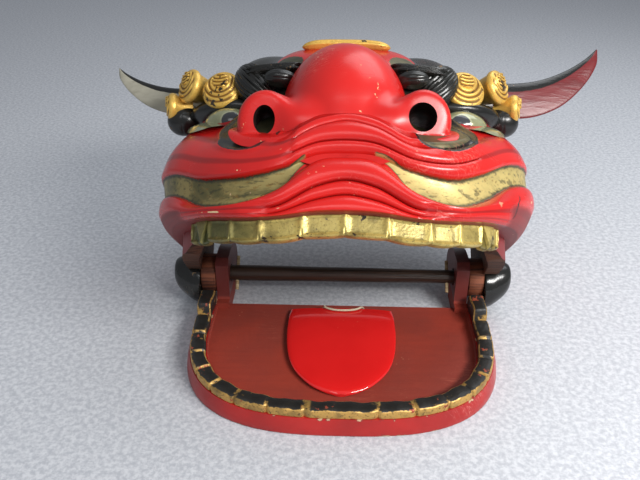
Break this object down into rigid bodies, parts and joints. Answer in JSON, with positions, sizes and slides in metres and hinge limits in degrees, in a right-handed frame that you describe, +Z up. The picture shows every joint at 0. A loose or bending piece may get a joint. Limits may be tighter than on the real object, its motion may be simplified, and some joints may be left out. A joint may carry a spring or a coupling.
{
  "type": "lion dance head",
  "caption": "Carved wooden lion head mask with a hinged lower jaw on a cross rod, a loose tied tongue, horn-like ears and a folded muzzle.",
  "frame": {"origin": "on the jaw's flat underside, in the middle of its width, 90 mm in front of the hinge rod", "axes": "+Z up from the floor the jaw lies on, -Y the way the face looks, +X to the right in the front view"},
  "size_m": [0.446, 0.346, 0.2438],
  "materials": {
    "red_lacquer": "glossy red lacquer on carved wood, worn at the ridges",
    "black_lacquer": "glossy black lacquer on carved wood",
    "gilding": "tarnished gold leaf on carved wood",
    "jaw_paint": "dull red-brown paint",
    "dark_wood": "bare dark wood",
    "tongue_lacquer": "very glossy bright red lacquer",
    "string": "twisted cotton string"
  },
  "bodies": {
    "jaw": {"jaw": "jaw_paint", "lower_teeth": "black_lacquer", "tongue": "tongue_lacquer", "tongue_string": "string"},
    "head": {"head_shell": "red_lacquer", "nose": "red_lacquer", "brow_left": "black_lacquer", "brow_right": "black_lacquer", "curls_left": "gilding", "curls_right": "gilding", "side_ball_left": "black_lacquer", "side_ball_right": "black_lacquer", "eye_left": "black_lacquer", "eye_right": "black_lacquer", "crest": "gilding", "upper_teeth": "gilding", "ear_left": "black_lacquer", "ear_right": "black_lacquer", "knob_left": "black_lacquer", "knob_right": "black_lacquer", "hinge_block_left": "dark_wood", "hinge_block_right": "dark_wood", "hinge_rod": "dark_wood", "rod_pin_left": "dark_wood", "rod_pin_right": "dark_wood"}
  },
  "joints": [
    {"name": "mouth_hinge", "type": "hinge", "parent": "jaw", "child": "head", "pos_m": [0, 0.09, 0.031], "axis": [1, 0, 0], "range_deg": [0, 42]}
  ]
}
